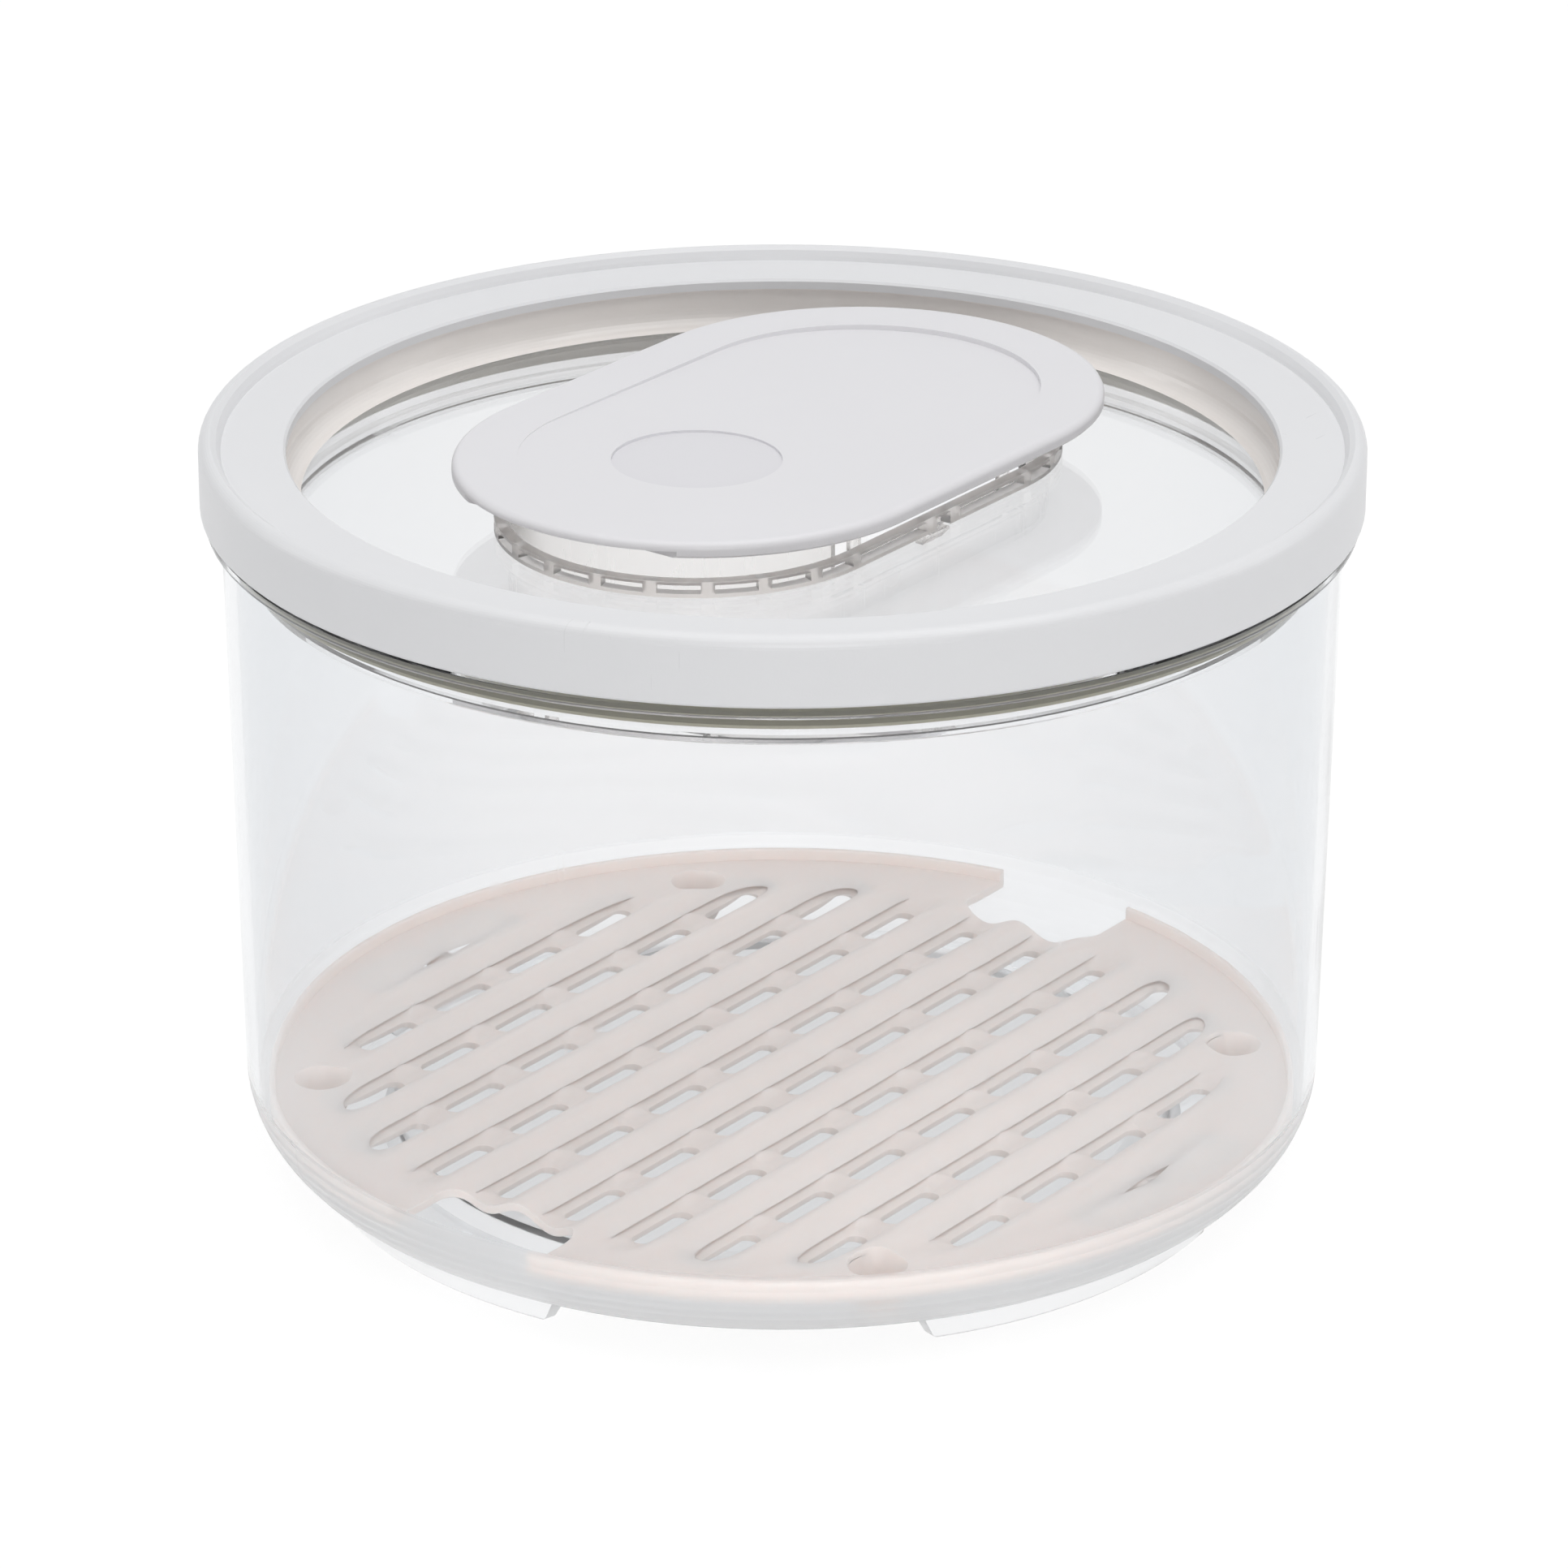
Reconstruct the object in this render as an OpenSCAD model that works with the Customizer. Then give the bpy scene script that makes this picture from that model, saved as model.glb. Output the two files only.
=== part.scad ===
// Round clear storage bin with a removable drain tray and a vented press-in lid.
// Millimetres, +Z up. The origin is on the axis, at the bottoms of the feet.
// +X is the long axis of the oval vent cap, whose finger relief is at -X.

/* [Bin] */
// Outer diameter of the wall where it meets the flange
bin_d = 227; // [190:1:260]
// Height of the flange's top face above the bottoms of the feet
flange_z = 143.8; // [110:0.1:180]
// Thickness of the wall and the floor
bin_wall = 2.4; // [1.8:0.1:3]
// Draft of the wall, degrees from vertical
bin_draft = 0.9; // [0.3:0.1:2]
// Outer radius of the corner between wall and floor
corner_r = 18; // [12:0.5:22]
// Height of the neck that stands up inside the lid
neck_h = 6.6; // [4:0.1:9]
// How far the flange stands out from the wall
flange_out = 3.1; // [2:0.1:4]
// Thickness of the flange
flange_t = 2.4; // [1.5:0.1:3.5]

/* [Feet] */
// Number of curved feet
foot_count = 4; // [3:1:6]
// Distance of the foot ring's outer face in from the top of the wall
foot_in = 15.5; // [14.5:0.5:22]
// Height of the floor's outer underside above the foot bottoms
foot_h = 4.4; // [3:0.1:8]
// Width of one foot at its bottom, as an angle
foot_span = 44; // [20:1:50]
// Radial thickness of a foot
foot_t = 2.4; // [1.6:0.1:4]
// Turn of the first foot from +X
foot_turn = -13.6; // [-45:0.1:45]
// Distance of the floor's raised middle in from the feet
dish_in = 15.6; // [13.6:0.2:30]
// Height of that raised middle above the foot bottoms
dish_z = 8.2; // [5:0.1:9]

/* [Drain tray] */
// Distance of the tray's edge in from the top of the bin's wall
tray_in = 6.3; // [5.8:0.1:9]
// Height of the valleys' top surface above the foot bottoms
tray_z = 15.6; // [15:0.1:30]
// Thickness of the tray
tray_t = 1.8; // [1.2:0.1:2.5]
// Height of the ridges above the valleys
ridge_h = 3; // [1:0.1:5]
// Distance from one row of slots to the next
row_pitch = 17; // [12:0.5:24]
// Distance from one slot to the next along a row
slot_pitch = 24.5; // [18:0.5:34]
// Length of a drain slot
slot_l = 16.5; // [10:0.5:17]
// Width of a drain slot
slot_w = 4.4; // [2:0.1:6]
// Width of the flat band round the corrugated field
band_w = 10.2; // [6:0.2:16]
// Length over which the ridges' ends slope down to the band
fade_l = 11; // [4:0.5:16]
// Height of the lip round the tray's edge above the band
tray_lip_h = 2.6; // [0.5:0.1:4]
// Width of a finger notch
notch_w = 34; // [20:1:50]
// Depth of a finger notch, in from the tray's edge
notch_in = 20; // [12:1:26]
// Distance of the tray's cone feet in from its edge
cone_in = 11.2; // [10.2:0.2:26]
// Angle of the cone feet from the X axis
cone_angle = 48; // [30:1:60]
// Top radius of a cone foot
cone_top_r = 8; // [6:0.5:12]
// Bottom radius of a cone foot
cone_tip_r = 4.2; // [3:0.1:5]

/* [Lid] */
// How far the white rim stands out past the bin's flange
rim_out = 0.9; // [0.3:0.1:2]
// How far the rim's top reaches in past the recess wall
rim_in = 1.2; // [0:0.1:3]
// Height of the rim's outer side, from its bottom to its flat top
rim_h = 11.5; // [9:0.1:16]
// Thickness of the rim's top and side
rim_t = 2.2; // [1.5:0.1:3]
// Height of the bead above the rim's flat top
bead_h = 2.8; // [1:0.1:4]
// Width of the bead
bead_w = 4.5; // [3:0.1:7]
// Thickness of the clear lid
panel_t = 2.2; // [1.5:0.1:3]
// Depth of the deck's top below the rim's flat top
deck_z = 10.3; // [7:0.1:14]
// Fillet between the deck and the recess wall
deck_fillet = 4; // [1:0.5:6]
// Depth of the plug's bottom below the rim's flat top
plug_z = 22.4; // [18:0.1:30]
// Gap between the plug and the bin's neck, which the gasket closes
plug_gap = 3.2; // [2:0.1:5]
// Width of the hollow in the plug, between its side and the recess wall
channel_w = 2.3; // [1.5:0.1:6]
// Height of the silicone gasket
gasket_h = 4.2; // [3:0.1:6]
// How deep the gasket sits in the plug's groove
groove_in = 0.8; // [0.4:0.1:1.2]

/* [Vent] */
// Length of the oval cap
cap_l = 153.2; // [150:0.2:160]
// Width of the oval cap
cap_w = 99; // [88:0.5:104]
// Thickness of the cap
cap_t = 3.2; // [2.4:0.1:4.5]
// Radius of the cap's rounded top edge
cap_edge_r = 1.6; // [0.6:0.1:2]
// Height of the open cap's underside above the rim's flat top
cap_up = 0.8; // [-1:0.1:3]
// Width of the border round the cap's shallow panel
border_w = 13; // [8:0.5:18]
// Depth of the panel at its deep end
dish_t = 1.1; // [0.4:0.1:1.4]
// Diameter of the plain disc set into the cap
disc_d = 34; // [20:1:40]
// Distance of the disc from the middle of the cap
disc_at = 28.5; // [10:0.5:40]
// Depth of the disc
disc_t = 0.35; // [0.2:0.05:0.5]
// Width of the finger relief under the cap's end
relief_w = 60; // [30:1:66]
// Height of the finger relief
relief_h = 1.4; // [0.5:0.1:1.8]
// Length of the oval curb on the deck
curb_l = 138.2; // [100:0.2:146]
// Width of the oval curb on the deck
curb_w = 80; // [70:0.5:84]
// Height of the curb above the deck
curb_h = 3.3; // [2.5:0.1:5]
// Thickness of the curb
curb_t = 2.4; // [1.6:0.1:3]
// Height of the air slots in the curb
air_h = 1.8; // [1:0.1:2.5]
// Width of the posts between the air slots
post_w = 2.4; // [1.5:0.1:4]
// Thickness of the sliding skirt
skirt_t = 1.8; // [1.2:0.1:2.4]
// Height of the skirt below the cap
skirt_h = 13.3; // [12:0.1:16]
// Height of the windows in the skirt's sides
window_h = 6; // [3:0.1:6.4]
// Distance from the cap down to the windows
window_down = 5.4; // [4.2:0.1:5.6]
// Length of the middle window in each side
window_l = 48.4; // [30:0.2:50]
// Width of a snap hook
hook_w = 6.6; // [4:0.1:10]
// How far a snap hook reaches under the deck
hook_out = 1.8; // [1:0.1:2.2]

/* [Fits] */
// Gap between a piece that lifts off and what carries it
seat_gap = 0.3; // [0.2:0.05:0.5]
// Gap between the skirt and the curb that guides it
guide_gap = 0.35; // [0.25:0.05:0.6]
// Gap between the gasket's lips and the bin's wall
lip_gap = 0.3; // [0.2:0.05:0.6]
// Gap between pieces of the lid that are snapped together
snap_gap = 0.1; // [0.05:0.05:0.2]

/* [Hidden] */
$fn = 96;
eps = 0.05;

bin_r = bin_d / 2;
// Height of the rim's flat top, from which the lid's depths are measured
top_z = flange_z + seat_gap + rim_h;
neck_z = flange_z + neck_h;
corner_z = foot_h + corner_r;
corner_x = wall_r(corner_z) - corner_r / cos(bin_draft);
floor_top_z = foot_h + bin_wall;
foot_r = bin_r - foot_in;
dish_r = foot_r - foot_t - dish_in;
deck_top_z = top_z - deck_z;
deck_low_z = deck_top_z - panel_t;
plug_low_z = top_z - plug_z;
plug_r = bin_r - bin_wall - plug_gap;
recess_r = plug_r - 2 * panel_t - channel_w;
rim_r = bin_r + flange_out + rim_out;
cap_r = cap_w / 2;
cap_half = (cap_l - cap_w) / 2;
cap_low_z = top_z + cap_up;
curb_r = curb_w / 2;
curb_half = (curb_l - curb_w) / 2;
curb_top_z = deck_top_z + curb_h;
tray_top_z = tray_z + tray_t;
tray_r = bin_r - tray_in;
cone_at = tray_r - cone_in;
vent_r = curb_r - curb_t;
skirt_r = vent_r - guide_gap;

// Small bevel along moulded edges
bevel = 0.5;
// Length of the short window at each end of the middle one
end_window_l = 6;
// Depth of a snap hook's ramp
hook_drop = 2.5;
// Height of the curb's rail over the air slots
rail_h = 0.7;
// Rib under the cap that locates the skirt
rib_t = 1.6;
rib_h = 3;
// Radial length of the step up to the floor's raised middle
dish_ramp = 2.6;
// Thickness of the bottom of the hollow plug
channel_floor = 2.8;

// Outer radius of the bin's wall at height z
function wall_r(z) = bin_r - (flange_z - z) * tan(bin_draft);

// Inner radius of the bin at height z, in the wall or in its rounded corner
function inside_r(z) =
    z >= corner_z ? wall_r(z) - bin_wall
    : corner_x + sqrt(pow(corner_r - bin_wall, 2) - pow(corner_z - z, 2));

// Height of the bin's inside at radius r: raised middle, floor or rounded corner
function inside_z(r) =
    r < dish_r + dish_ramp + bin_wall / 2 ? dish_z + bin_wall
    : r < corner_x ? floor_top_z
    : corner_z - sqrt(pow(corner_r - bin_wall, 2) - pow(r - corner_x, 2));

// Points along an arc about [x, z]
function arc(x, z, r, from, to, steps = 8) =
    [for (i = [0:steps]) let (a = from + (to - from) * i / steps) [x + r * cos(a), z + r * sin(a)]];

// Oval outline with round ends of radius r, whose centres are half away from the middle
module oval(half, r) {
    translate([-half, 0]) circle(r);
    translate([half, 0]) circle(r);
    translate([-half, -r]) square([2 * half, 2 * r]);
}

// Oval wall between two radii, from z0 up to z1
module oval_wall(half, r_in, r_out, z0, z1) {
    translate([0, 0, z0]) linear_extrude(z1 - z0) difference() {
        oval(half, r_out);
        oval(half, r_in);
    }
}

// Oval solid whose edge has the profile in children, drawn from the axis outwards
module oval_solid(half) {
    translate([half, 0, 0]) rotate(-90) rotate_extrude(angle = 180) children();
    translate([-half, 0, 0]) rotate(90) rotate_extrude(angle = 180) children();
    translate([-half, 0, 0]) rotate([90, 0, 90]) linear_extrude(2 * half) {
        children();
        mirror([1, 0]) children();
    }
}

// Section of the bin: dished floor, round corner, drafted wall, flange and neck
module bin_section() {
    flange_r = wall_r(flange_z) + flange_out;
    flange_low_z = flange_z - flange_t;
    neck_r = wall_r(flange_z);
    ramp_r = dish_r + dish_ramp;
    polygon(concat(
        [[0, dish_z], [dish_r, dish_z], [ramp_r, foot_h]],
        arc(corner_x, corner_z, corner_r, -90, -bin_draft, 10),
        [
            [wall_r(flange_low_z), flange_low_z],
            [flange_r - bevel, flange_low_z],
            [flange_r, flange_low_z + bevel],
            [flange_r, flange_z - bevel],
            [flange_r - bevel, flange_z],
            [neck_r, flange_z],
            [neck_r, neck_z - bevel],
            [neck_r - bevel, neck_z],
            [neck_r - bin_wall + bevel, neck_z],
            [neck_r - bin_wall, neck_z - bevel],
            [neck_r - bin_wall, flange_z]
        ],
        arc(corner_x, corner_z, corner_r - bin_wall, -bin_draft, -90, 10),
        [
            [ramp_r + bin_wall / 2, floor_top_z],
            [dish_r + bin_wall / 2, dish_z + bin_wall],
            [0, dish_z + bin_wall]
        ]
    ));
}

// Side view of one foot: slanted ends and rounded lower corners
module foot_outline() {
    half = foot_r * sin(foot_span / 2);
    lean = 2.4;
    round_r = 1.8;
    top = foot_h + 1.6;
    polygon(concat(
        [[half + lean, top]],
        arc(half - round_r, round_r, round_r, -25, -90, 5),
        arc(-half + round_r, round_r, round_r, -90, -155, 5),
        [[-half - lean, top]]
    ));
}

module foot() {
    // The feet lean out a little and end inside the rounded corner's wall
    top = foot_h + 1.4;
    draft = 0.9;
    intersection() {
        rotate_extrude() polygon([
            [foot_r - foot_t, 0], [foot_r - bevel, 0], [foot_r, bevel],
            [foot_r + draft, top], [foot_r - foot_t, top]
        ]);
        translate([foot_r / 2, 0, 0]) rotate([90, 0, 90]) linear_extrude(foot_r) foot_outline();
    }
}

module bin_body() {
    color([0.93, 0.95, 0.97, 0.35]) {
        rotate_extrude($fn = 180) bin_section();
        for (i = [0:foot_count - 1]) rotate(foot_turn + i * 360 / foot_count) foot();
    }
}

// Height of the corrugated sheet's top at a distance y from the tray's middle row
function sheet_z(y) = tray_z + ridge_h * (1 + cos(360 * y / row_pitch)) / 2;

// Everything under the corrugated sheet's top, whose ridges slope down to the flat band at their ends
module under_sheet(field_r) {
    step = row_pitch / 10;
    count = floor(field_r / step) + 1;
    crest_z = tray_z + ridge_h;
    intersection() {
        translate([-field_r, 0, 0]) rotate([90, 0, 90]) linear_extrude(2 * field_r) polygon(concat(
            [[-count * step, 0]],
            [for (i = [-count:count]) [i * step, sheet_z(i * step)]],
            [[count * step, 0]]
        ));
        rotate_extrude($fn = 180) polygon([
            [0, 0], [field_r, 0], [field_r, tray_z + eps],
            [field_r - fade_l, crest_z + eps], [0, crest_z + eps]
        ]);
    }
}

// Flat band and upright lip round the tray
module tray_band() {
    lip_top = tray_top_z + tray_lip_h;
    lip_t = 1.3;
    // The band laps over the sheet's edge, so that they join
    in_r = tray_r - band_w - 1.5;
    rotate_extrude($fn = 180) polygon([
        [in_r, tray_z], [tray_r - lip_t, tray_z], [tray_r - bevel, tray_z + 2 * bevel],
        [tray_r, lip_top - bevel], [tray_r - bevel, lip_top],
        [tray_r - lip_t, lip_top], [tray_r - lip_t - bevel, tray_top_z], [in_r, tray_top_z]
    ]);
}

// Rows of drain slots, one row in each valley, with as many slots as the row has room for
module drain_slots() {
    field_r = tray_r - band_w + 3;
    end_gap = 8;
    row_count = floor(field_r / row_pitch - 0.5);
    for (row = [0:row_count], side = [-1, 1]) {
        y = (row + 0.5) * row_pitch * side;
        room = 2 * (sqrt(pow(field_r, 2) - pow(y, 2)) - end_gap);
        count = floor((room + slot_pitch - slot_l) / slot_pitch);
        if (count > 0) for (i = [0:count - 1])
            translate([(i - (count - 1) / 2) * slot_pitch, y, tray_z - tray_t - 1])
                linear_extrude(tray_t + ridge_h + 2) oval((slot_l - slot_w) / 2, slot_w / 2);
    }
}

// Where the tray's four cone feet stand
module at_cone_feet() {
    for (side = [0, 180], up = [-1, 1])
        rotate(side + up * cone_angle) translate([cone_at, 0, 0]) children();
}

module drain_tray() {
    sheet_r = tray_r - band_w;
    // The cone feet end just above the highest part of the bin's inside under them
    tip_z = max(inside_z(cone_at - cone_tip_r), inside_z(cone_at + cone_tip_r)) + seat_gap;
    cone_h = tray_top_z - tip_z;
    lean = (cone_top_r - cone_tip_r) / cone_h;
    bore_r = cone_tip_r - 1.2;
    color([0.93, 0.92, 0.9]) difference() {
        union() {
            difference() {
                under_sheet(sheet_r);
                translate([0, 0, -tray_t]) under_sheet(sheet_r + 1);
            }
            tray_band();
            at_cone_feet() translate([0, 0, tip_z]) cylinder(h = cone_h, r1 = cone_tip_r, r2 = cone_top_r);
        }
        at_cone_feet() translate([0, 0, tip_z + tray_t])
            cylinder(h = cone_h, r1 = bore_r, r2 = bore_r + lean * cone_h);
        drain_slots();
        for (side = [0, 180]) rotate(side) translate([tray_r - notch_in, 0, 0]) finger_notch();
    }
}

// Rounded finger notch, open to the tray's edge
module finger_notch() {
    notch_r = 6;
    for (side = [-1, 1])
        translate([notch_r, side * (notch_w / 2 - notch_r), 0]) cylinder(r = notch_r, h = 40);
    translate([0, -notch_w / 2 + notch_r, 0]) cube([notch_in + 2, notch_w - 2 * notch_r, 40]);
    translate([notch_r, -notch_w / 2, 0]) cube([notch_in, notch_w, 40]);
}

// Section of the clear lid: flange under the rim, hollow plug, recess wall and deck
module panel_section() {
    flange_top = top_z - rim_t - snap_gap;
    flange_low = flange_top - panel_t;
    flange_r = rim_r - rim_t - snap_gap;
    channel_z = plug_low_z + channel_floor;
    inner_r = recess_r + panel_t;
    outer_r = plug_r - panel_t;
    groove_mid = gasket_mid_z();
    fillet_x = recess_r - deck_fillet;
    fillet_z = deck_top_z + deck_fillet;
    polygon(concat(
        [[0, deck_low_z], [recess_r, deck_low_z]],
        [[recess_r, plug_low_z + bevel], [recess_r + bevel, plug_low_z]],
        [[plug_r - bevel, plug_low_z], [plug_r, plug_low_z + bevel]],
        [
            [plug_r, groove_mid - gasket_h / 2],
            [plug_r - groove_in, groove_mid - gasket_h / 2],
            [plug_r - groove_in, groove_mid + gasket_h / 2],
            [plug_r, groove_mid + gasket_h / 2]
        ],
        [[plug_r, flange_low], [flange_r, flange_low], [flange_r, flange_top], [outer_r, flange_top]],
        [[outer_r, channel_z], [inner_r, channel_z], [inner_r, flange_top], [recess_r, flange_top]],
        arc(fillet_x, fillet_z, deck_fillet, 0, -90, 8),
        [[0, deck_top_z]]
    ));
}

// Height of the gasket's middle, below the bin's flange
function gasket_mid_z() = flange_z - flange_t - gasket_h / 2;

// Air slots in the curb: all round its ends, along its sides, and a deeper one over each hook
module air_slots() {
    turn = 16.4;
    z = curb_top_z - rail_h - air_h;
    hook_slot_w = hook_w - 2;
    mid_r = curb_r - curb_t / 2;
    end_l = 2 * mid_r * sin(turn / 2) - post_w;
    side_l = curb_half - hook_w / 2 - 1.5 * post_w;
    for (end = [0, 180], i = [-5:5])
        translate([end == 0 ? curb_half : -curb_half, 0, 0]) rotate(end + i * turn)
            translate([mid_r - curb_t, -end_l / 2, z]) cube([2 * curb_t, end_l, air_h]);
    for (side = [-1, 1], end = [-1, 1])
        translate([end * (curb_half - post_w / 2 - side_l / 2), side * mid_r, z + air_h / 2])
            cube([side_l, 2 * curb_t, air_h], center = true);
    for (side = [-1, 1])
        translate([-hook_slot_w / 2, side * mid_r - curb_t, deck_top_z + eps])
            cube([hook_slot_w, 2 * curb_t, curb_h - rail_h - eps]);
}

module lid_panel() {
    color([0.9, 0.94, 0.97, 0.35]) {
        difference() {
            union() {
                rotate_extrude($fn = 180) panel_section();
                oval_wall(curb_half, vent_r, curb_r, deck_low_z, curb_top_z);
            }
            translate([0, 0, deck_low_z - 1]) linear_extrude(panel_t + curb_h + 3) oval(curb_half, vent_r);
            air_slots();
        }
    }
}

// Section of the rim: flat ring, raised outer bead and side
module rim_section() {
    inner_r = recess_r - rim_in;
    low_z = top_z - rim_h;
    crest_r = 2.5;
    foot_r = rim_r - bead_w;
    polygon(concat(
        [[inner_r, top_z - rim_t], [rim_r - rim_t, top_z - rim_t], [rim_r - rim_t, low_z]],
        [[rim_r - bevel, low_z], [rim_r, low_z + bevel]],
        arc(rim_r - crest_r, top_z + bead_h - crest_r, crest_r, 0, 90, 8),
        [[foot_r + 0.9, top_z + bead_h * 0.72], [foot_r + 0.3, top_z + bead_h * 0.3], [foot_r, top_z]],
        [[inner_r + bevel, top_z], [inner_r, top_z - bevel]]
    ));
}

module lid_rim() {
    color([0.9, 0.91, 0.93]) rotate_extrude($fn = 180) rim_section();
}

// Section of the gasket: a band in the plug's groove with two lips
module gasket_section() {
    in_r = plug_r - groove_in + snap_gap;
    mid = gasket_mid_z();
    half = gasket_h / 2 - snap_gap;
    lip_r = inside_r(mid - half) - lip_gap;
    root_r = plug_r + 0.7;
    polygon([
        [in_r, mid - half], [root_r, mid - half], [lip_r, mid - half + 0.5], [lip_r, mid - half + 1.1],
        [root_r, mid - 0.3], [root_r, mid + 0.3],
        [lip_r, mid + half - 1.1], [lip_r, mid + half - 0.5], [root_r, mid + half], [in_r, mid + half]
    ]);
}

module lid_gasket() {
    color([0.62, 0.61, 0.56]) rotate_extrude($fn = 180) gasket_section();
}

// Section of the cap from its middle to its rounded edge
module cap_section() {
    polygon(concat(
        [[0, 0], [cap_r - bevel, 0], [cap_r, bevel]],
        arc(cap_r - cap_edge_r, cap_t - cap_edge_r, cap_edge_r, 0, 90, 8),
        [[0, cap_t]]
    ));
}

module vent_cap() {
    panel_r = cap_r - border_w;
    panel_l = 2 * (cap_half + panel_r);
    rib_r = skirt_r - skirt_t - snap_gap;
    // The panel's floor tips down from the finger end to the far end
    tip = atan(dish_t / panel_l);
    color([0.88, 0.89, 0.9]) translate([0, 0, cap_low_z]) {
        difference() {
            oval_solid(cap_half) cap_section();
            translate([-panel_l / 2, 0, cap_t]) rotate([0, tip, 0]) translate([panel_l / 2, 0, 0])
                linear_extrude(4) oval(cap_half, panel_r);
            translate([-disc_at, 0, cap_t - disc_t - dish_t / 2]) cylinder(d = disc_d, h = 4);
            translate([-cap_l / 2 - 1, -relief_w / 2, -1])
                cube([cap_l / 2 - curb_l / 2 + 1, relief_w, relief_h + 1]);
        }
        oval_wall(curb_half, rib_r - rib_t, rib_r, -rib_h, eps);
    }
}

// Wedge that hangs from the skirt by a neck of the given height, and catches under the deck
module hook(neck) {
    rotate([90, 0, 90]) linear_extrude(hook_w, center = true) polygon([
        [-skirt_t, neck], [0, neck], [0, 0], [hook_out, 0],
        [hook_out, -bevel], [0, -hook_drop], [-skirt_t, -hook_drop]
    ]);
}

module vent_skirt() {
    skirt_top = cap_low_z;
    skirt_low = skirt_top - skirt_h;
    window_z = skirt_top - window_down - window_h;
    hook_z = deck_low_z - seat_gap;
    end_window_at = (window_l + end_window_l) / 2 + post_w;
    color([0.93, 0.95, 0.97, 0.35]) {
        difference() {
            oval_wall(curb_half, skirt_r - skirt_t, skirt_r, skirt_low, skirt_top);
            for (side = [-1, 1]) {
                translate([-window_l / 2, side * skirt_r - 3, window_z]) cube([window_l, 6, window_h]);
                for (end = [-1, 1])
                    translate([end * end_window_at, side * skirt_r, window_z + window_h / 2])
                        cube([end_window_l, 9, window_h], center = true);
            }
        }
        for (side = [0, 180]) rotate(side) translate([0, skirt_r, hook_z])
            hook(max(skirt_low - hook_z, 0) + bevel);
    }
}

bin_body();
drain_tray();
lid_panel();
lid_rim();
lid_gasket();
vent_cap();
vent_skirt();
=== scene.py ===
import bpy, math
from mathutils import Vector, Matrix


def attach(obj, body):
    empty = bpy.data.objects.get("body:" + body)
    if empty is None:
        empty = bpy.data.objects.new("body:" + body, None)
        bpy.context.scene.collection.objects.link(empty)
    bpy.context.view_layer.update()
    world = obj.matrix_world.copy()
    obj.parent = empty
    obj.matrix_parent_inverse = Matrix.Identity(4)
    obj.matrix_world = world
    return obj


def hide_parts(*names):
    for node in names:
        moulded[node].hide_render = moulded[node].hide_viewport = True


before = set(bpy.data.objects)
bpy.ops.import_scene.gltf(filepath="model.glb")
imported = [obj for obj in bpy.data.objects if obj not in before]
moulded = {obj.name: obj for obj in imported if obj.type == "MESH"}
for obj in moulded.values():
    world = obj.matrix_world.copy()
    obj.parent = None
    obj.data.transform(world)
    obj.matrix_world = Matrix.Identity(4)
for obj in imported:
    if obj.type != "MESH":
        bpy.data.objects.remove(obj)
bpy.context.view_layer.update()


# ---- Clear bin ----
# The round tub that holds the produce: injection-moulded clear copolyester, 2.4 mm thick, with a
# flange for the lid, a large rounded lower corner and four feet moulded under it. It comes out of
# the mould polished, so its finish is glass-clear with faint flow waves and hairline scuffs.

def node_maker(tree):
    """Two short ways to fill a node tree: put adds a node with its settings and what goes in,
    sums does arithmetic."""
    def put(kind, going_in=(), **settings):
        node = tree.nodes.new(kind)
        for setting, value in settings.items():
            setattr(node, setting, value)
        for socket, value in dict(going_in).items():
            if isinstance(value, bpy.types.NodeSocket):
                tree.links.new(value, node.inputs[socket])
            else:
                node.inputs[socket].default_value = value
        return node

    def sums(operation, *terms):
        return put("ShaderNodeMath", enumerate(terms), operation=operation).outputs[0]

    return put, sums


def shader_tree(name):
    """A new material whose node tree is empty, and the two ways to fill it."""
    finish = bpy.data.materials.new(name)
    finish.use_nodes = True
    finish.node_tree.nodes.clear()
    return finish, *node_maker(finish.node_tree)


def hairline_group():
    """Shader group: hairline scuffs in two directions, gathered in worn patches."""
    group = bpy.data.node_groups.new("hairline_scuffs", "ShaderNodeTree")
    group.interface.new_socket("Place", in_out="INPUT", socket_type="NodeSocketVector")
    for label in ("Scuffs per metre", "Strength"):
        group.interface.new_socket(label, in_out="INPUT", socket_type="NodeSocketFloat")
    group.interface.new_socket("Scuffs", in_out="OUTPUT", socket_type="NodeSocketFloat")
    put, sums = node_maker(group)
    given = put("NodeGroupInput").outputs
    lines = []
    for turn, stretch in (((0.3, 0.9, 0.4), (1, 22, 1)), ((-0.7, 0.2, 1.3), (26, 1, 1))):
        place = put("ShaderNodeMapping", {
            "Vector": given["Place"], "Rotation": turn, "Scale": stretch}).outputs[0]
        streak = put("ShaderNodeTexNoise", {
            "Vector": place, "Scale": given["Scuffs per metre"], "Detail": 1.0}).outputs["Fac"]
        lines.append(put("ShaderNodeMapRange", {
            "Value": streak, "From Min": 0.66, "From Max": 0.74}).outputs[0])
    cloud = put("ShaderNodeTexNoise", {
        "Vector": given["Place"], "Scale": 14.0, "Detail": 3.0}).outputs["Fac"]
    worn = put("ShaderNodeMapRange", {
        "Value": cloud, "From Min": 0.42, "From Max": 0.62}).outputs[0]
    scuffs = sums("MULTIPLY", sums("MULTIPLY", sums("MAXIMUM", *lines), worn), given["Strength"])
    put("NodeGroupOutput", {"Scuffs": scuffs})
    return group


hairlines = hairline_group()
scuff_dulls = 0.16   # roughness that a scuff adds to polished plastic
scuff_rubs = 0.12    # roughness that it rubs off grained plastic


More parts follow.
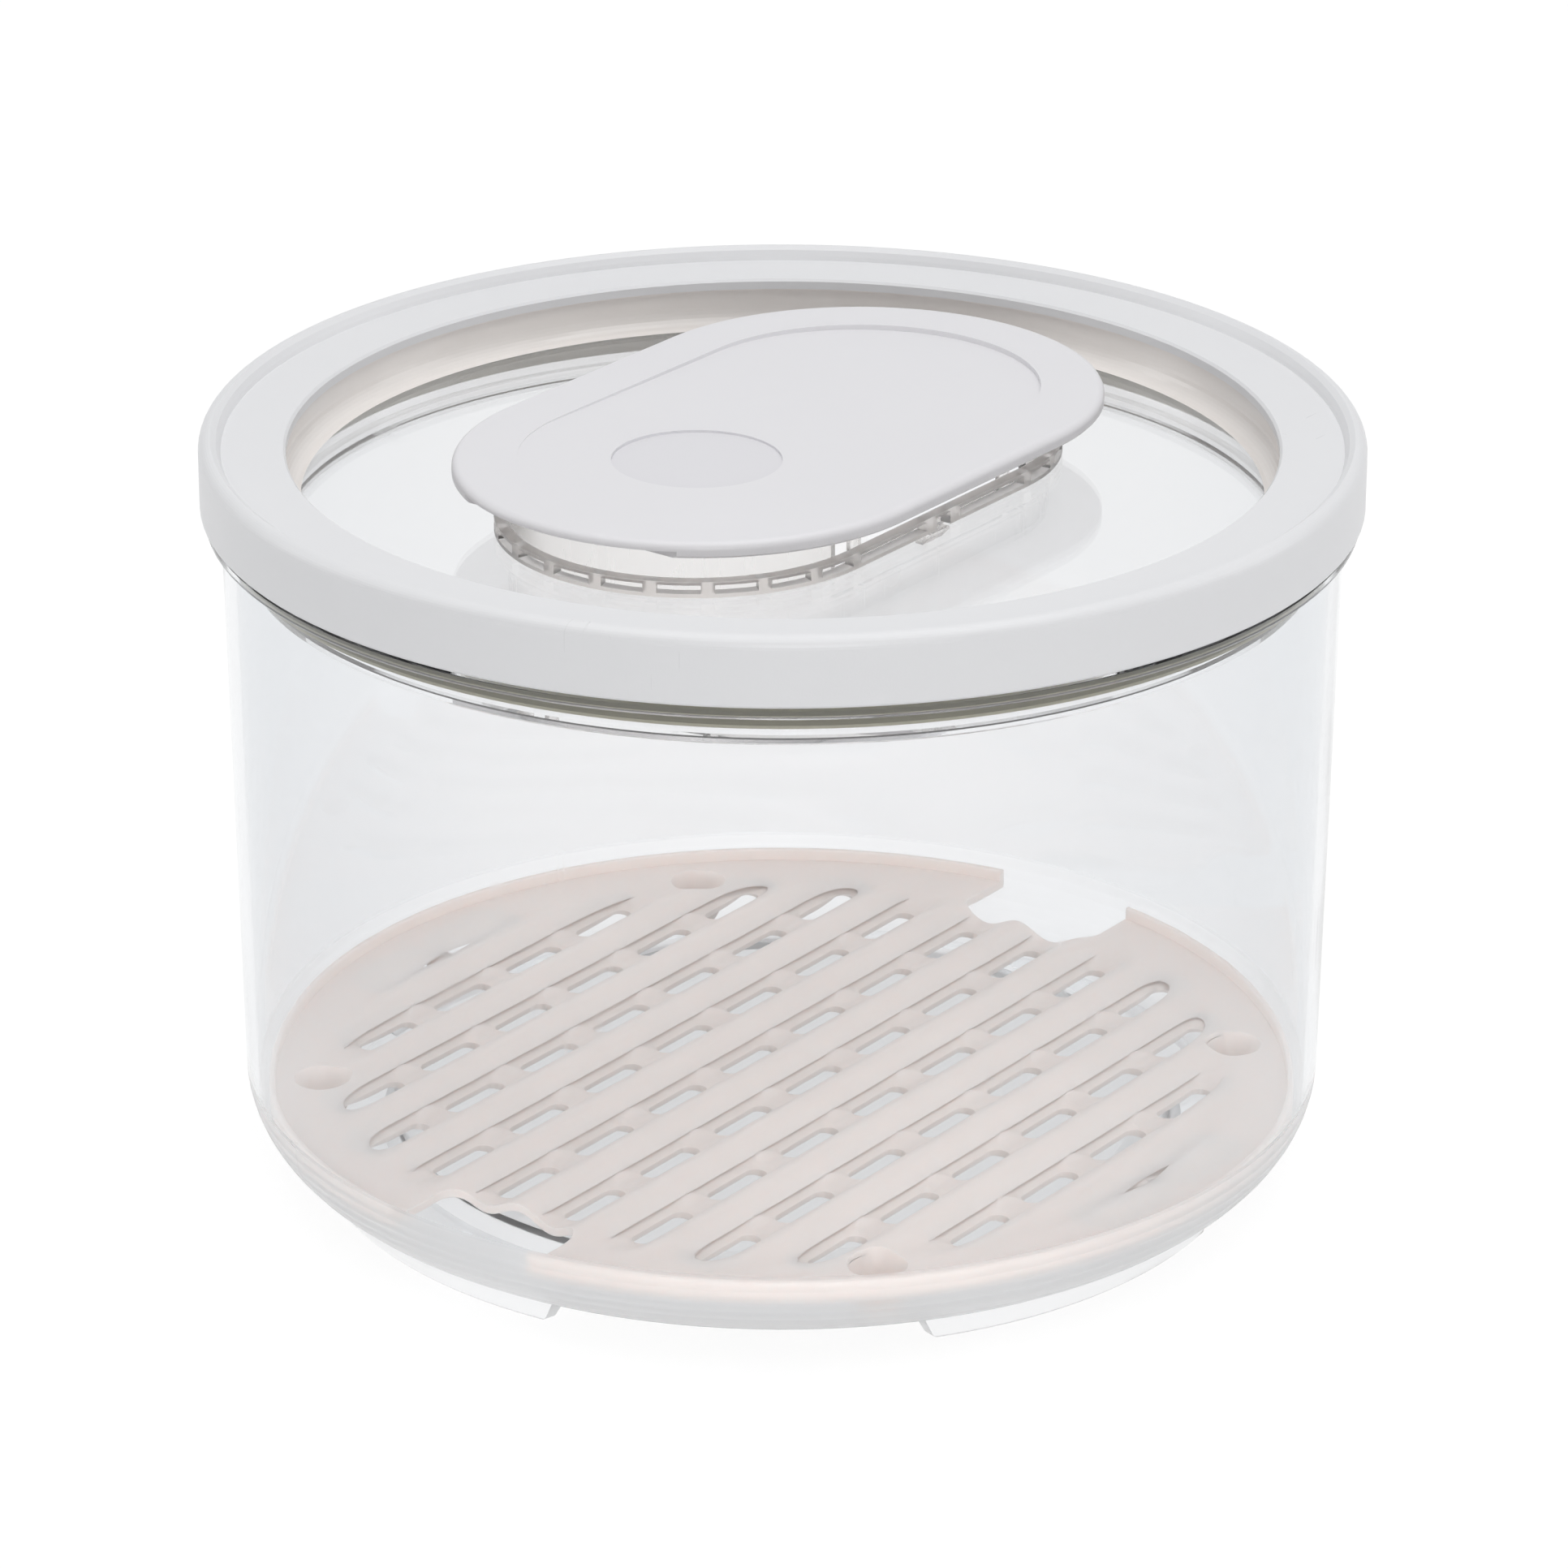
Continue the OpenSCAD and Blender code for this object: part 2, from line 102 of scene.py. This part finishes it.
def clear_plastic(name, tint, edge_tint, wave, polish):
    """Clear moulded plastic: its tint face on and edge on, the height of its flow waves and its
    roughness."""
    finish, put, _ = shader_tree(name)
    place = put("ShaderNodeTexCoord").outputs["Object"]
    scuffs = put("ShaderNodeGroup", {
        "Place": place, "Scuffs per metre": 45.0, "Strength": 0.5}, node_tree=hairlines)
    # The tint wanders a little, as the wall's thickness does
    cloud = put("ShaderNodeTexNoise", {"Vector": place, "Scale": 9.0, "Detail": 2.0}).outputs["Fac"]
    paler = [1 - (1 - c) * 0.5 for c in tint]
    face_on = put("ShaderNodeMix", {
        0: cloud, 6: (*tint, 1), 7: (*paler, 1)}, data_type="RGBA").outputs[2]
    edge_on = put("ShaderNodeLayerWeight", {"Blend": 0.35}).outputs["Facing"]
    colour = put("ShaderNodeMix", {
        0: edge_on, 6: face_on, 7: (*edge_tint, 1)}, data_type="RGBA").outputs[2]
    rough = put("ShaderNodeMapRange", {
        "Value": scuffs.outputs["Scuffs"], "To Min": polish,
        "To Max": polish + scuff_dulls}).outputs[0]
    # Long soft waves, where the melt flowed up the wall
    upright = put("ShaderNodeMapping", {"Vector": place, "Scale": (1, 1, 0.35)}).outputs[0]
    flow = put("ShaderNodeTexNoise", {
        "Vector": upright, "Scale": 22.0, "Detail": 1.0, "Distortion": 0.4}).outputs["Fac"]
    waves = put("ShaderNodeBump", {"Height": flow, "Strength": 1.0, "Distance": wave}).outputs[0]
    plastic = put("ShaderNodeBsdfPrincipled", {
        "Base Color": colour, "Roughness": rough, "Normal": waves, "IOR": 1.54,
        "Transmission Weight": 1.0})
    # Lamp light goes straight through the thin wall, so it reaches what is inside
    lamp_light = put("ShaderNodeBsdfTransparent", {"Color": (0.965, 0.968, 0.972, 1)})
    shadow_ray = put("ShaderNodeLightPath").outputs["Is Shadow Ray"]
    either = put("ShaderNodeMixShader", {
        0: shadow_ray, 1: plastic.outputs[0], 2: lamp_light.outputs[0]})
    put("ShaderNodeOutputMaterial", {"Surface": either.outputs[0]})
    return finish


def finish_node(node, material):
    """The one finish of a node of the CAD."""
    moulded[node].data.materials.clear()
    moulded[node].data.materials.append(material)


def finish_faces(node, material, chosen):
    """One more finish, for those faces of a node that pass a test of how far out and how high
    their middle is and of how level they are: 1 faces up, 0 to a side, -1 down."""
    mesh = moulded[node].data
    mesh.materials.append(material)
    for face in mesh.polygons:
        x, y, z = face.center
        if chosen(math.hypot(x, y), z, face.normal.z):
            face.material_index = len(mesh.materials) - 1


finish_node("bin_body", clear_plastic(
    "bin_clear_plastic", (0.90, 0.903, 0.912), (0.70, 0.73, 0.76), 0.0001, 0.01))

# The rounded corner, the feet and the step up to the raised floor come out of the mould duller
corner_top = 0.0222
corner_from = 0.0925
step_from, step_to = 0.0755, 0.083
duller = clear_plastic("bin_dull_plastic", (0.975, 0.98, 0.988), (0.95, 0.96, 0.975), 0.00002, 0.3)
finish_faces("bin_body", duller, lambda out, high, level: (
    high < corner_top and (out > corner_from or step_from < out < step_to)))


# ---- Drain tray ----
# The loose insert that keeps produce out of its drips: off-white polypropylene, 1.8 mm thick,
# pressed into rows of soft ridges with a row of drain slots in each valley, a flat band with a
# low lip round it, a finger notch at each end and four hollow cone feet.

tray_sizes = {
    "Tray radius": 0.1072, "Thickness": 0.0018, "Valley height": 0.0156, "Ridge height": 0.003,
    "Row pitch": 0.017, "Rows": 12, "Slots in a row": 8, "Slot pitch": 0.0245, "Slot length": 0.0165,
    "Slot width": 0.0044, "Slot edge round": 0.0006, "Field radius": 0.0975, "Fade length": 0.0125,
    "Slot reach": 0.1, "End gap": 0.008, "Lip height": 0.0026, "Lip thickness": 0.0013,
    "Notch width": 0.034, "Notch depth": 0.02, "Notch corner": 0.006,
    "Foot distance": 0.096, "Foot angle": 48.0, "Foot top radius": 0.008, "Foot tip radius": 0.0042,
    "Foot tip height": 0.0091,
}


def tray_tree():
    """Geometry Nodes: a ribbed round sheet with a lip and cone feet, cut by rows of slots and
    two notches."""
    tree = bpy.data.node_groups.new("ribbed_drain_tray", "GeometryNodeTree")
    for label, value in tray_sizes.items():
        kind = "NodeSocketInt" if isinstance(value, int) else "NodeSocketFloat"
        tree.interface.new_socket(label, in_out="INPUT", socket_type=kind).default_value = value
    tree.interface.new_socket("Material", in_out="INPUT", socket_type="NodeSocketMaterial")
    tree.interface.new_socket("Geometry", in_out="OUTPUT", socket_type="NodeSocketGeometry")
    put, sums = node_maker(tree)
    size = put("NodeGroupInput").outputs

    def closed(face):
        """A solid one metre high, standing on a flat face."""
        raised = put("GeometryNodeExtrudeMesh", {
            "Mesh": face, "Offset": (0, 0, 1), "Offset Scale": 1.0, "Individual": False})
        base = put("GeometryNodeFlipFaces", {"Mesh": face})
        both = put("GeometryNodeJoinGeometry")
        for part in (raised, base):
            tree.links.new(part.outputs[0], both.inputs[0])
        return put("GeometryNodeMergeByDistance", {
            "Geometry": both.outputs[0], "Distance": 1e-6}).outputs[0]

    def combined(operation, first, *others):
        """Solids joined, or the others cut out of the first."""
        cut = put("GeometryNodeMeshBoolean", operation=operation, solver="MANIFOLD")
        if operation == "DIFFERENCE":
            tree.links.new(first, cut.inputs["Mesh 1"])
        else:
            others = (first, *others)
        for solid in others:
            tree.links.new(solid, cut.inputs["Mesh 2"])
        return cut.outputs[0]

    def at(x, y, z):
        """A position from three numbers or fields."""
        return put("ShaderNodeCombineXYZ", {0: x, 1: y, 2: z}).outputs[0]

    def moved(solid, position):
        """A solid with its vertices put where a field says."""
        return put("GeometryNodeSetPosition", {"Geometry": solid, "Position": position}).outputs[0]

    x, y, z = put("ShaderNodeSeparateXYZ", {0: put("GeometryNodeInputPosition").outputs[0]}).outputs
    index = put("GeometryNodeInputIndex").outputs[0]
    band_top = sums("ADD", size["Valley height"], size["Thickness"])
    round_steps = 240

    # The sheet: its ridges run along X, and fade into the flat band
    across = sums("MULTIPLY", size["Tray radius"], 2.0)
    flat = put("GeometryNodeMeshGrid", {
        "Size X": across, "Size Y": across, "Vertices X": 101, "Vertices Y": 191})
    turns = sums("MULTIPLY", sums("DIVIDE", y, size["Row pitch"]), math.tau)
    swell = sums("MULTIPLY", sums("ADD", sums("COSINE", turns), 1.0), 0.5)
    wave = sums("MULTIPLY", swell, size["Ridge height"])
    out = put("ShaderNodeVectorMath", {0: at(x, y, 0.0)}, operation="LENGTH").outputs["Value"]
    faded_in = sums("SUBTRACT", size["Field radius"], size["Fade length"])
    ribbed = put("ShaderNodeMapRange", {
        "Value": out, "From Min": size["Field radius"], "From Max": faded_in},
        interpolation_type="SMOOTHSTEP").outputs[0]
    above_band = sums("SUBTRACT", wave, size["Thickness"])
    top = sums("ADD", band_top, sums("MULTIPLY", ribbed, above_band))
    level = sums("SUBTRACT", top, sums("MULTIPLY", size["Thickness"], sums("SUBTRACT", 1.0, z)))
    sheet = moved(closed(flat.outputs["Mesh"]), at(x, y, level))
    inside_lip = sums("SUBTRACT", size["Tray radius"], sums("MULTIPLY", size["Lip thickness"], 0.5))
    disc = put("GeometryNodeMeshCylinder", {
        "Vertices": round_steps, "Radius": inside_lip, "Depth": 0.1})
    round_sheet = combined("INTERSECT", sheet, disc.outputs["Mesh"])

    # The lip: a rounded strip run round the edge
    lip_tall = sums("ADD", size["Thickness"], size["Lip height"])
    lip_corner = 0.0005
    strip = put("GeometryNodeCurvePrimitiveQuadrilateral", {
        "Width": size["Lip thickness"], "Height": lip_tall})
    strip = put("GeometryNodeFilletCurve", {
        "Curve": strip.outputs[0], "Count": 4, "Radius": lip_corner}, mode="POLY")
    ring = put("GeometryNodeCurvePrimitiveCircle", {
        "Resolution": round_steps, "Radius": inside_lip})
    lip = put("GeometryNodeCurveToMesh", {
        "Curve": ring.outputs["Curve"], "Profile Curve": strip.outputs[0]})
    lip_middle = sums("ADD", size["Valley height"], sums("MULTIPLY", lip_tall, 0.5))
    lip = put("GeometryNodeTransform", {
        "Geometry": lip.outputs[0], "Translation": at(0.0, 0.0, lip_middle)}).outputs[0]

    # Four cone feet, in pairs either side of X, and the hollows in them
    pair = sums("FLOOR", sums("MULTIPLY", index, 0.5))
    side = sums("SUBTRACT", sums("MULTIPLY", sums("MODULO", index, 2.0), 2.0), 1.0)
    swing = sums("MULTIPLY", side, size["Foot angle"])
    turn = sums("RADIANS", sums("ADD", sums("MULTIPLY", pair, 180.0), swing))
    standing = at(
        sums("MULTIPLY", sums("COSINE", turn), size["Foot distance"]),
        sums("MULTIPLY", sums("SINE", turn), size["Foot distance"]), size["Foot tip height"])
    places = put("GeometryNodePoints", {"Count": 4, "Position": standing}).outputs[0]

    def cones(inset, rise, tall):
        """The four cones, slimmer by an inset, raised, and so tall."""
        cone = put("GeometryNodeMeshCone", {
            "Vertices": 40, "Radius Top": sums("SUBTRACT", size["Foot top radius"], inset),
            "Radius Bottom": sums("SUBTRACT", size["Foot tip radius"], inset),
            "Depth": tall}, fill_type="NGON")
        lifted = put("GeometryNodeTransform", {
            "Geometry": cone.outputs["Mesh"], "Translation": (0, 0, rise)})
        spread = put("GeometryNodeInstanceOnPoints", {
            "Points": places, "Instance": lifted.outputs[0]})
        return put("GeometryNodeRealizeInstances", {"Geometry": spread.outputs[0]}).outputs[0]

    foot_wall, foot_floor = 0.0012, 0.0018
    below_band_top = 0.0004
    foot_tall = sums("SUBTRACT", band_top, size["Foot tip height"])
    feet = cones(0.0, 0.0, sums("SUBTRACT", foot_tall, below_band_top))
    body = combined("UNION", round_sheet, lip, feet)

    # One slot: a round-ended punch whose top flares, so that the slot's edge is soft
    punch_above, punch_tall, flare_rate = 0.0012, 0.006, 0.9
    punch = put("GeometryNodeMeshCylinder", {
        "Vertices": 28, "Side Segments": 12, "Radius": 1.0, "Depth": 1.0})
    down = sums("SUBTRACT", 0.5, z)
    punch_top = sums("ADD", size["Valley height"], punch_above)
    height = sums("SUBTRACT", punch_top, sums("MULTIPLY", sums("MULTIPLY", down, down), punch_tall))
    above_valley = sums("SUBTRACT", height, size["Valley height"])
    over = sums("MAXIMUM", sums("ADD", above_valley, size["Slot edge round"]), 0.0)
    steep = sums("DIVIDE", over, size["Slot edge round"])
    flare = sums("MULTIPLY", sums("MULTIPLY", steep, over), flare_rate)
    half_wide = sums("ADD", sums("MULTIPLY", size["Slot width"], 0.5), flare)
    half_run = sums("MULTIPLY", sums("SUBTRACT", size["Slot length"], size["Slot width"]), 0.5)
    along = sums("ADD", sums("MULTIPLY", sums("SIGN", x), half_run), sums("MULTIPLY", x, half_wide))
    punch = moved(punch.outputs["Mesh"], at(along, sums("MULTIPLY", y, half_wide), height))

    # A row of slots in each valley, with as many as the row has room for
    row = sums("FLOOR", sums("DIVIDE", index, size["Slots in a row"]))
    nth = sums("MODULO", index, size["Slots in a row"])
    mid_row = sums("MULTIPLY", sums("SUBTRACT", size["Rows"], 1.0), 0.5)
    row_at = sums("MULTIPLY", sums("SUBTRACT", row, mid_row), size["Row pitch"])
    chord = sums("SQRT", sums(
        "SUBTRACT", sums("POWER", size["Slot reach"], 2.0), sums("POWER", row_at, 2.0)))
    room = sums("MULTIPLY", sums("SUBTRACT", chord, size["End gap"]), 2.0)
    spare = sums("SUBTRACT", size["Slot pitch"], size["Slot length"])
    fits = sums("FLOOR", sums("DIVIDE", sums("ADD", room, spare), size["Slot pitch"]))
    centred = sums("SUBTRACT", nth, sums("MULTIPLY", sums("SUBTRACT", fits, 1.0), 0.5))
    slot_at = at(sums("MULTIPLY", centred, size["Slot pitch"]), row_at, 0.0)
    count = sums("MULTIPLY", size["Rows"], size["Slots in a row"])
    slots = put("GeometryNodePoints", {"Count": count, "Position": slot_at}).outputs[0]
    kept = sums("LESS_THAN", nth, fits)
    slots = put("GeometryNodeInstanceOnPoints", {"Points": slots, "Selection": kept, "Instance": punch})
    slots = put("GeometryNodeRealizeInstances", {"Geometry": slots.outputs[0]}).outputs[0]

    # A finger notch at each end, with round corners, cut from well past the tray's edge
    past_edge = 0.02
    long = sums("ADD", size["Notch depth"], past_edge)
    notch = put("GeometryNodeCurvePrimitiveQuadrilateral", {
        "Width": long, "Height": size["Notch width"]})
    notch = put("GeometryNodeFilletCurve", {
        "Curve": notch.outputs[0], "Count": 8, "Radius": size["Notch corner"]}, mode="POLY")
    notch = put("GeometryNodeFillCurve", {"Curve": notch.outputs[0]}, mode="NGONS").outputs[0]
    notch_end = sums("SUBTRACT", size["Tray radius"], size["Notch depth"])
    middle = sums("ADD", notch_end, sums("MULTIPLY", long, 0.5))
    ends = []
    for end in (1.0, -1.0):
        there = at(sums("MULTIPLY", middle, end), 0.0, -0.5)
        ends.append(put("GeometryNodeTransform", {
            "Geometry": closed(notch), "Translation": there}).outputs[0])

    # What is cut out, and shading that is smooth but for the sharp edges
    sharp = math.radians(38)
    hollows = cones(foot_wall, foot_floor, foot_tall)
    cut = combined("DIFFERENCE", body, slots, *ends, hollows)
    soft = put("GeometryNodeSetShadeSmooth", {
        "Geometry": cut, "Shade Smooth": True}, domain="FACE").outputs[0]
    bend = put("GeometryNodeInputMeshEdgeAngle").outputs["Unsigned Angle"]
    crisp = put("GeometryNodeSetShadeSmooth", {
        "Geometry": soft, "Selection": sums("GREATER_THAN", bend, sharp),
        "Shade Smooth": False}, domain="EDGE").outputs[0]
    whole = put("GeometryNodeRealizeInstances", {"Geometry": crisp}).outputs[0]
    finished = put("GeometryNodeSetMaterial", {"Geometry": whole, "Material": size["Material"]})
    put("NodeGroupOutput", {"Geometry": finished.outputs[0]})
    return tree


def grown(name, tree, sizes, material):
    """A plain mesh object made by a Geometry Nodes tree from its named sizes."""
    piece = bpy.data.objects.new(name, bpy.data.meshes.new(name))
    bpy.context.scene.collection.objects.link(piece)
    maker = piece.modifiers.new("maker", "NODES")
    maker.node_group = tree
    for socket in tree.interface.items_tree:
        if socket.in_out == "INPUT":
            maker[socket.identifier] = material if socket.name == "Material" else sizes[socket.name]
    grown_piece = piece.evaluated_get(bpy.context.evaluated_depsgraph_get())
    made = bpy.data.meshes.new_from_object(grown_piece)
    piece.modifiers.remove(maker)
    piece.data = made
    made.name = name
    return piece


def satin_plastic(name, light, dark, grain_per_metre, grain, roughness, disc=None, glow=0.0):
    """Moulded plastic: two close colours, how fine and how high its grain is, its roughness, a
    coarser round disc in it, given as the X of its middle, its radius and its shade, and how
    much light goes into it."""
    finish, put, sums = shader_tree(name)
    place = put("ShaderNodeTexCoord").outputs["Object"]
    cloud = put("ShaderNodeTexNoise", {
        "Vector": place, "Scale": 18.0, "Detail": 4.0, "Roughness": 0.6}).outputs["Fac"]
    tone = put("ShaderNodeMix", {
        0: cloud, 6: (*dark, 1), 7: (*light, 1)}, data_type="RGBA").outputs[2]
    scuffs = put("ShaderNodeGroup", {
        "Place": place, "Scuffs per metre": 60.0, "Strength": 0.6}, node_tree=hairlines)
    shine = put("ShaderNodeMapRange", {
        "Value": scuffs.outputs["Scuffs"], "To Min": roughness,
        "To Max": roughness - scuff_rubs}).outputs[0]
    erosion = put("ShaderNodeTexNoise", {
        "Vector": place, "Scale": grain_per_metre, "Detail": 2.0}).outputs["Fac"]
    if disc:
        middle, radius, shade = disc
        flat = put("ShaderNodeVectorMath", {0: place, 1: (1, 1, 0)}, operation="MULTIPLY").outputs[0]
        away = put("ShaderNodeVectorMath", {
            0: flat, 1: (middle, 0, 0)}, operation="DISTANCE").outputs["Value"]
        inside = sums("LESS_THAN", away, radius)
        tone = put("ShaderNodeMix", {0: inside, 6: tone, 7: shade}, data_type="RGBA").outputs[2]
        coarse = put("ShaderNodeTexNoise", {
            "Vector": place, "Scale": grain_per_metre * 0.6, "Detail": 1.0}).outputs["Fac"]
        twice_as_high = sums("MULTIPLY", coarse, 2.0)
        erosion = put("ShaderNodeMix", {0: inside, 2: erosion, 3: twice_as_high}).outputs[0]
        shine = put("ShaderNodeMix", {0: inside, 2: shine, 3: roughness + 0.15}).outputs[0]
    texture = put("ShaderNodeBump", {
        "Height": erosion, "Strength": 0.6, "Distance": grain}).outputs[0]
    plastic = put("ShaderNodeBsdfPrincipled", {
        "Base Color": tone, "Roughness": shine, "Normal": texture, "IOR": 1.5,
        "Subsurface Weight": glow, "Subsurface Radius": (1.0, 0.85, 0.8), "Subsurface Scale": 0.0012})
    put("ShaderNodeOutputMaterial", {"Surface": plastic.outputs[0]})
    return finish


# The tray is off-white, and the warm pink in its colour is painted light: warm light bounced onto it
tray_plastic = satin_plastic(
    "tray_polypropylene", (0.915, 0.84, 0.80), (0.885, 0.80, 0.76), 900.0, 0.00003, 0.4, glow=0.5)
tray = grown("ribbed_drain_tray", tray_tree(), tray_sizes, tray_plastic)
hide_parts("drain_tray")
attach(tray, "tray")


# ---- Clear lid ----
# The press-in lid: one clear moulding with a flange, a hollow plug that goes down inside the
# neck, the recess wall and deck inside it, and a low oval curb with air slots on the deck.

finish_node("lid_panel", clear_plastic(
    "lid_clear_plastic", (0.98, 0.985, 0.99), (0.93, 0.93, 0.935), 0.00003, 0.01))

# The recess wall's faces get an opaque cream finish, so the hollow behind it doesn't show: painted
# light, standing in for the glow of the white rim behind the clear wall, lit through the rim's own
# plastic
wall_from, wall_to = 0.0965, 0.1014
wall_foot, wall_top = 0.14532, 0.1534
painted_channel_glow = satin_plastic(
    "recess_wall_painted_glow", (0.95, 0.91, 0.88), (0.92, 0.875, 0.84), 300.0, 0.00001, 0.1)
finish_faces("lid_panel", painted_channel_glow, lambda out, high, level: (
    wall_from < out < wall_to and wall_foot < high < wall_top))

# The curb and the edge of the opening inside it are frosted, and the deck round them isn't
curb_to = 0.0705
deck_under, deck_over = 0.1436, 0.1456
upright_below = 0.5
# The cream tint of the curb's finish is painted warm light falling on it
frosted = clear_plastic(
    "curb_frosted_plastic", (0.96, 0.925, 0.90), (0.95, 0.92, 0.895), 0.00002, 0.42)
finish_faces("lid_panel", frosted, lambda out, high, level: (
    out < curb_to and high > deck_under and (abs(level) < upright_below or high > deck_over)))


# ---- Lid gasket ----
# The two-lipped seal stretched into the plug's groove: soft silicone, olive grey, and its dark tone is
# partly painted shade from under the rim.

finish_node("lid_gasket", satin_plastic(
    "gasket_silicone", (0.36, 0.34, 0.25), (0.30, 0.285, 0.2), 500.0, 0.00002, 0.35))


# ---- Lid rim ----
# The white ring with a raised outer bead, snapped over the clear lid's flange: satin ABS with a
# very fine spark-eroded grain.

finish_node("lid_rim", satin_plastic(
    "rim_white_plastic", (0.84, 0.84, 0.85), (0.81, 0.81, 0.825), 2200.0, 0.000025, 0.34))


# ---- Vent skirt ----
# The clear oval sleeve that slides in the curb, with windows in its long sides and a snap hook
# under the deck at the middle of each. It is a little hazy.

# The skirt's faint cream tint is painted warm light falling on it
finish_node("vent_skirt", clear_plastic(
    "skirt_clear_plastic", (0.965, 0.945, 0.925), (0.95, 0.93, 0.91), 0.00003, 0.26))


# ---- Vent cap ----
# The white oval cap pressed on the skirt: satin ABS, with a shallow panel in its top, a plain
# round disc sunk in it and a finger relief under one end. The disc is greyer and coarser.

finish_node("vent_cap", satin_plastic(
    "cap_white_plastic", (0.83, 0.82, 0.84), (0.80, 0.79, 0.81), 2000.0, 0.00003, 0.36,
    disc=(-0.0285, 0.0171, (0.77, 0.76, 0.785, 1))))


# ---- Studio ----
# A plain white floor in a white room, with a soft overhead light, a low one in front, one at
# either side, and two dark cards that give the clear wall its edges. The camera stands where the
# photographer's did, a little above the bin and 1.4 m away. Turns and tilts are in degrees.

half_floor = 6
sweep = bpy.data.meshes.new("studio_floor")
sweep.from_pydata(
    [(-half_floor, -half_floor, 0), (half_floor, -half_floor, 0),
     (half_floor, half_floor, 0), (-half_floor, half_floor, 0)], [], [(0, 1, 2, 3)])
floor = bpy.data.objects.new("studio_floor", sweep)
bpy.context.scene.collection.objects.link(floor)

# The paper is mostly an even glow where it is seen, straight on or in the plastic, and lights
# nothing
paper, put, sums = shader_tree("studio_white_paper")
glow_share = 0.82
card = put("ShaderNodeBsdfDiffuse", {"Color": (0.86, 0.86, 0.86, 1)}).outputs[0]
glow = put("ShaderNodeEmission", {"Color": (1, 1, 1, 1), "Strength": 1.1}).outputs[0]
path = put("ShaderNodeLightPath").outputs
seen = sums("MAXIMUM", path["Is Camera Ray"], path["Is Transmission Ray"])
seen = sums("MAXIMUM", seen, path["Is Glossy Ray"])
white = put("ShaderNodeMixShader", {
    0: sums("MULTIPLY", seen, glow_share), 1: card, 2: glow}).outputs[0]
underneath = put("ShaderNodeNewGeometry").outputs["Backfacing"]
clear = put("ShaderNodeBsdfTransparent").outputs[0]
both_sides = put("ShaderNodeMixShader", {0: underneath, 1: white, 2: clear}).outputs[0]
put("ShaderNodeOutputMaterial", {"Surface": both_sides})
sweep.materials.append(paper)

camera_turn, camera_tilt, camera_away = -143.3, 22.76, 1.39728
camera_aim = Vector((0, 0, 0.0798))
camera_aside = 0.00039
camera_roll = 0.002  # in radians


def around(turn, tilt, distance, target=camera_aim):
    """A point at a distance from the target, turned from the camera's side of it and tilted up."""
    a, e = math.radians(camera_turn) + math.radians(turn), math.radians(tilt)
    way = Vector((math.cos(a) * math.cos(e), math.sin(a) * math.cos(e), math.sin(e)))
    return target + distance * way


def softbox(name, turn, tilt, distance, width, height, watts):
    """A rectangular lamp that faces what the camera faces."""
    lamp = bpy.data.lights.new(name, "AREA")
    lamp.shape, lamp.size, lamp.size_y = "RECTANGLE", width, height
    lamp.energy = watts
    box = bpy.data.objects.new(name, lamp)
    box.location = around(turn, tilt, distance)
    box.rotation_mode = "QUATERNION"
    box.rotation_quaternion = (camera_aim - box.location).to_track_quat("-Z", "Y")
    bpy.context.scene.collection.objects.link(box)


softbox("softbox_overhead", 20, 78, 1.4, 1.4, 1.4, 9.0)
softbox("softbox_front", 4, 12, 1.6, 0.7, 0.6, 5.2)
softbox("softbox_left", -105, 20, 1.5, 0.5, 1.0, 2.0)
softbox("softbox_right", 102, 20, 1.5, 0.5, 1.0, 1.6)

# White walls all round, with two dark cards half way between the front and the sides. They show
# only in reflections, as the camera looks past them at a plain white backdrop.
wall_glow = 0.64
card_tilt, card_edge, card_full = 8, 0.62, 0.9
world = bpy.data.worlds.new("studio_white_room")
bpy.context.scene.world = world
world.use_nodes = True
world.node_tree.nodes.clear()
put, sums = node_maker(world.node_tree)
path = put("ShaderNodeLightPath").outputs
seen = sums("MAXIMUM", path["Is Camera Ray"], path["Is Transmission Ray"])
way = put("ShaderNodeTexCoord").outputs["Generated"]
cards = []
for turn, dark in ((-48, 1.0), (54, 0.85)):
    towards = around(turn, card_tilt, 1.0, Vector((0, 0, 0)))
    facing = put("ShaderNodeVectorMath", {
        0: way, 1: towards}, operation="DOT_PRODUCT").outputs["Value"]
    cards.append(put("ShaderNodeMapRange", {
        "Value": facing, "From Min": card_edge, "From Max": card_full,
        "To Min": 1.0, "To Max": 1.0 - dark}).outputs[0])
strength = sums("MULTIPLY", sums("MULTIPLY", *cards), wall_glow)
wall = put("ShaderNodeBackground", {"Color": (0.98, 0.99, 1, 1), "Strength": strength}).outputs[0]
backdrop = put("ShaderNodeBackground", {"Color": (1, 1, 1, 1), "Strength": 1.0}).outputs[0]
either = put("ShaderNodeMixShader", {0: seen, 1: wall, 2: backdrop}).outputs[0]
put("ShaderNodeOutputWorld", {"Surface": either})

lens = bpy.data.cameras.new("camera")
lens.lens, lens.sensor_width = 155.86, 36
lens.clip_start, lens.clip_end = 0.05, 30
camera = bpy.data.objects.new("camera", lens)
bpy.context.scene.collection.objects.link(camera)
camera.location = around(0, camera_tilt, camera_away)
camera.rotation_mode = "QUATERNION"
camera.rotation_quaternion = (camera_aim - camera.location).to_track_quat("-Z", "Y")
camera_right = camera.rotation_quaternion @ Vector((1, 0, 0))
camera.location += camera_right * camera_aside
roll = Matrix.Rotation(camera_roll, 4, "Z").to_quaternion()
camera.rotation_quaternion = camera.rotation_quaternion @ roll
bpy.context.scene.camera = camera

view = bpy.context.scene.view_settings
view.view_transform = "Standard"
# Enough bounces to see through the lid, the bin's near wall, its floor and back out
tracer = bpy.context.scene.cycles
tracer.max_bounces, tracer.transmission_bounces, tracer.transparent_max_bounces = 20, 18, 16
tracer.glossy_bounces, tracer.diffuse_bounces = 8, 4
